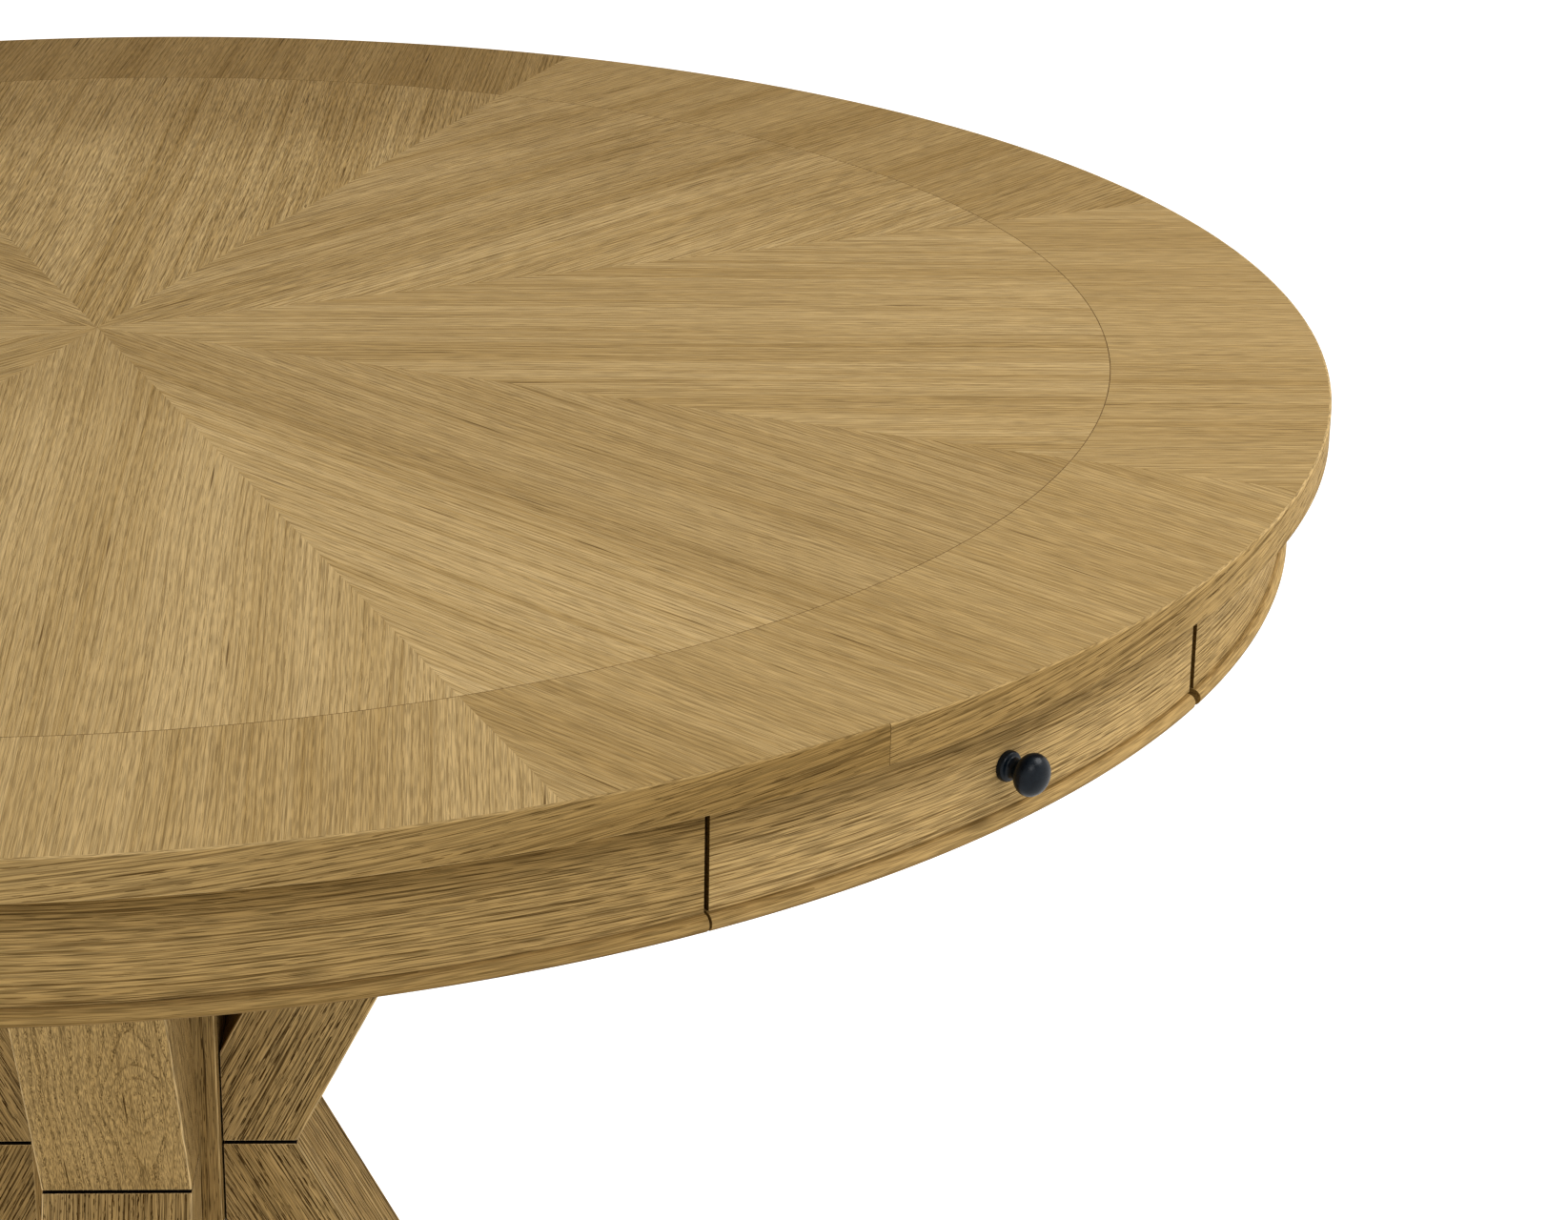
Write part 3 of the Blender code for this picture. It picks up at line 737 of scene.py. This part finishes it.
def build_knob(quarter, azimuth, material):
    node = f"drawer_{quarter}_knob"
    low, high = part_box(node)
    middle = (low + high) / 2.0
    outward = Vector((math.cos(math.radians(azimuth)), math.sin(math.radians(azimuth)), 0.0))
    reach = max(low.dot(outward), high.dot(outward))
    foot = min(low.dot(outward), high.dot(outward))
    bm = turned(knob_profile(reach - foot), KNOB_STEPS)
    rotation = outward.to_track_quat("Z", "Y").to_matrix()
    bmesh.ops.transform(bm, matrix=rotation.to_4x4(), verts=bm.verts)
    place = outward * foot
    bmesh.ops.translate(bm, vec=(place.x, place.y, middle.z), verts=bm.verts)
    knob = add_piece(f"knob_{quarter}", bm, material, f"drawer_{quarter}", 40.0)
    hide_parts(node)


def dress(node, material):
    """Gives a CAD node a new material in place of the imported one."""
    obj = NODES[node]
    for slot in obj.material_slots:
        slot.material = material


def build_drawers_and_apron():
    for number, (diagonal, azimuth) in enumerate(DIAGONALS.items()):
        seed = 31.0 + 1.7 * number
        tone, crease = PANEL_TONES[diagonal]
        name = "apron_panel_" + diagonal
        material = front_material("oak_" + name, azimuth, seed, tone, crease)
        build_front(name, "table", azimuth, FIXED_HALF, (0.0, 0.0), PANEL_HEAD, material)
        name = "apron_bead_" + diagonal
        material = bead_material("oak_" + name, azimuth, seed + 0.5, tone * BEAD_TONE, crease)
        build_bead(name, "table", azimuth, FIXED_BEAD_HALF, (0.0, 0.0), material)

    blue_black = knob_material()
    for number, (quarter, azimuth) in enumerate(QUARTERS.items()):
        body = "drawer_" + quarter
        seed = 45.0 + 1.9 * number
        tone, crease = FRONT_TONES[quarter]
        name = body + "_front"
        material = front_material("oak_" + name, azimuth, seed, tone, crease)
        build_front(name, body, azimuth, FRONT_HALF, FRONT_TRIMS[quarter], FRONT_HIGH.z, material)
        name = body + "_bead"
        material = bead_material("oak_" + name, azimuth, seed + 0.5, tone * BEAD_TONE, crease)
        build_bead(name, body, azimuth, BEAD_HALF, BEAD_TRIMS[quarter], material)
        build_knob(quarter, azimuth, blue_black)
        for part, turn in (("side_left", 0.0), ("side_right", 0.0), ("back", 90.0), ("bottom", 90.0)):
            node = f"{body}_{part}"
            low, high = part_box(node)
            middle = (low + high) / 2.0
            dress(node, ply_material("ply_" + node, azimuth + turn, middle, part == "bottom"))
        for side in ("left", "right"):
            node = f"runner_{quarter}_{side}"
            low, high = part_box(node)
            dress(node, ply_material("ply_" + node, azimuth, (low + high) / 2.0, False))


# ---------------------------------------------------------------- pedestal

SIDE_FACE, SEAM_FACE, EDGE_HIGHLIGHT_FACE, OUTLINE_FACE = range(4)   # the order of a prism's materials


def prism(outline, width, seam_corners):
    """An outline in the XZ plane with a width along Y.  Its faces between the given pairs of
    corners are seams, whose edges are only lightly rounded."""
    bm = bmesh.new()
    weight = bm.edges.layers.float.new("bevel_weight_edge")
    sides = [[bm.verts.new((x, sign * width / 2.0, z)) for x, z in outline] for sign in (-1.0, 1.0)]
    for side in sides:
        bm.faces.new(side).material_index = SIDE_FACE
    count = len(outline)
    for i in range(count):
        j = (i + 1) % count
        face = bm.faces.new((sides[0][i], sides[0][j], sides[1][j], sides[1][i]))
        face.material_index = SEAM_FACE if (i, j) in seam_corners else OUTLINE_FACE
    for edge in bm.edges:
        seam = any(face.material_index == SEAM_FACE for face in edge.link_faces)
        edge[weight] = SEAM_ROUND / BASE_ROUND if seam else 1.0
    return bm


def turn_about_axis(bm, azimuth):
    turn = Matrix.Rotation(math.radians(azimuth), 3, "Z")
    bmesh.ops.rotate(bm, verts=bm.verts, cent=(0.0, 0.0, 0.0), matrix=turn)


def wing_outline(rise):
    """Side view of an arm above the crossing, rising outwards by a given height."""
    run = 1.0 / math.tan(math.radians(WING_SLOPE))
    level_thickness = WING_THICKNESS / math.sin(math.radians(WING_SLOPE))
    inner = POST_WIDTH / 2.0 + POST_SIDE_GAP
    foot = SEAM_GAP / 2.0
    outer_head = CROSSING_REACH + run * rise
    inner_head = outer_head - level_thickness
    leaves_post = rise - (inner_head - inner) / run
    return [(inner, foot), (CROSSING_REACH + run * foot, foot), (outer_head, rise), (inner_head, rise),
            (inner, leaves_post)]


def eye_offset(slope, seed):
    """Moves the figure's eye to its place on an arm's outer face, in grain coordinates."""
    tilt = math.radians(slope)
    x = CROSSING_REACH + EYE_HEIGHT / math.tan(tilt)
    z = CROSSING_HEIGHT + EYE_HEIGHT
    spot = (x * math.cos(tilt) + z * math.sin(tilt), EYE_SIDE, z * math.cos(tilt) - x * math.sin(tilt))
    return tuple(-a - b * seed for a, b in zip(spot, SEED_STEP))


def build_pedestal():
    for number, (diagonal, azimuth) in enumerate(DIAGONALS.items()):
        for part, sign, seed in (("arm", 1.0, 61.0 + 2.3 * number), ("leg", -1.0, 73.0 + 2.9 * number)):
            node = f"{part}_{diagonal}"
            tone = WING_TONES[node]
            low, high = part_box(node)
            rise = high.z - CROSSING_HEIGHT if part == "arm" else CROSSING_HEIGHT - low.z
            outline = [(x, CROSSING_HEIGHT + sign * z) for x, z in wing_outline(rise)]
            bm = prism(outline, WING_WIDTH, ((0, 1), (4, 0)))
            turn_about_axis(bm, azimuth)
            grain = {"azimuth": azimuth, "tilt": sign * WING_SLOPE, "seed": seed}
            face = SAWN_FLAT
            if node == "arm_sw":
                face = dict(EYED, Eye=eye_offset(WING_SLOPE, seed))
            elif node == "leg_se":
                face = STRAIGHT
            # the rounded edges get a paler copy of the oak: a painted highlight
            materials = (oak_material("oak_" + node, tone=tone, **grain, **SAWN_THROUGH), SEAM_SHADE,
                         oak_material("oak_edge_highlight_" + node, tone=EDGE_HIGHLIGHT_TONE * tone, **grain, **EDGE_HIGHLIGHT_LOOK),
                         oak_material("oak_face_" + node, tone=tone, **grain, **face))
            piece = add_piece("oak_" + node, bm, materials, "table")
            soften(piece, BASE_ROUND, weighted=True, material_index=EDGE_HIGHLIGHT_FACE)
            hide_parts(node)

    low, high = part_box("post")
    half = POST_WIDTH / 2.0
    outline = [(-half, low.z), (half, low.z), (half, high.z), (-half, high.z)]
    bm = prism(outline, POST_WIDTH, ())
    turn_about_axis(bm, 45.0)
    grain = {"azimuth": 45.0, "tilt": 90.0, "seed": 91.0}
    # the rounded edges get a paler copy of the oak: a painted highlight
    materials = (oak_material("oak_post", tone=POST_TONE, **grain, **SAWN_FLAT), SEAM_SHADE,
                 oak_material("oak_edge_highlight_post", tone=POST_EDGE_HIGHLIGHT_TONE, **grain, **EDGE_HIGHLIGHT_LOOK),
                 oak_material("oak_face_post", tone=POST_TONE, **grain, **SAWN_THROUGH))
    post = add_piece("oak_post", bm, materials, "table")
    soften(post, BASE_ROUND, weighted=True, material_index=EDGE_HIGHLIGHT_FACE)
    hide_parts("post")

    for node, azimuth, seed in (("cleat_upper", 45.0, 95.0), ("cleat_lower", -45.0, 97.0)):
        dress(node, oak_material("oak_" + node, azimuth, seed=seed, tone=CLEAT_TONE, **BASE_LOOK))
    nylon = glide_material()
    for diagonal in DIAGONALS:
        dress("glide_" + diagonal, nylon)


# ---------------------------------------------------------------- studio


def build_studio():
    bm = bmesh.new()
    bmesh.ops.create_grid(bm, x_segments=8, y_segments=8, size=20.0)
    mesh = bpy.data.meshes.new("studio_floor")
    bm.to_mesh(mesh)
    bm.free()
    floor = bpy.data.objects.new("studio_floor", mesh)
    bpy.context.scene.collection.objects.link(floor)
    floor.location.z = -0.0005
    floor.visible_diffuse = False   # the sky's lower half stands for the floor's light
    floor.visible_glossy = False
    material = bpy.data.materials.new("studio_floor")
    material.use_nodes = True
    shader = shader_of(material)
    shader.inputs["Base Color"].default_value = (0.85, 0.85, 0.85, 1.0)
    shader.inputs["Roughness"].default_value = 0.9
    shader.inputs["Specular IOR Level"].default_value = 0.0
    shader.inputs["Emission Color"].default_value = (1.0, 1.0, 1.0, 1.0)
    shader.inputs["Emission Strength"].default_value = FLOOR_GLOW
    mesh.materials.append(material)

    # a soft dome: brightest at the horizon, dim below it
    world = bpy.data.worlds.new("studio_world")
    world.use_nodes = True
    t = Tree(world.node_tree)
    up = t.split(t.add("ShaderNodeTexCoord").outputs["Generated"])[2]
    dome = t.level(up, 0.0, 1.0, DOME_HORIZON, DOME_ZENITH)
    below = t.level(up, -0.10, 0.0, DOME_BELOW, 0.0)
    above = t.math("MULTIPLY", dome, t.level(up, -0.10, 0.0))
    background = world.node_tree.nodes["Background"]
    background.inputs["Color"].default_value = (1.0, 1.0, 1.0, 1.0)
    t.tree.links.new(t.math("ADD", below, above), background.inputs["Strength"])
    bpy.context.scene.world = world

    for name, place, size, power in LAMPS:
        lamp = bpy.data.lights.new(name, "AREA")
        lamp.shape = "DISK"
        lamp.size = size
        lamp.energy = power
        obj = bpy.data.objects.new(name, lamp)
        obj.location = place
        obj.visible_camera = False
        aim = Vector(LAMP_AIM) - obj.location
        obj.rotation_euler = aim.to_track_quat("-Z", "Y").to_euler()
        bpy.context.scene.collection.objects.link(obj)


def build_camera():
    data = bpy.data.cameras.new("camera")
    data.sensor_fit = "HORIZONTAL"
    data.sensor_width = SENSOR_WIDTH
    data.lens = CAMERA_LENS
    data.clip_end = 50.0
    camera = bpy.data.objects.new("camera", data)
    camera.location = CAMERA_PLACE
    camera.rotation_euler = [math.radians(a) for a in CAMERA_TURN]
    bpy.context.scene.collection.objects.link(camera)
    bpy.context.scene.camera = camera


bpy.context.scene.view_settings.view_transform = "Standard"
# near-black faces inside the wings' joints: painted shade
SEAM_SHADE = seam_material()
END_GRAIN = oak_material("oak_end_grain", wrap=True, tone=0.42, Fibre=0.6, Pores=0.5, Along=1500.0)
# ends of the fronts and panels: oak end grain, made far darker as painted shade inside the slots
SLOT_GRAIN_AND_SHADE = oak_material("oak_slot_grain_and_shade", wrap=True, tone=0.22, Fibre=0.6, Pores=0.5, Along=1500.0)
build_top()
build_drawers_and_apron()
build_pedestal()
build_studio()
build_camera()
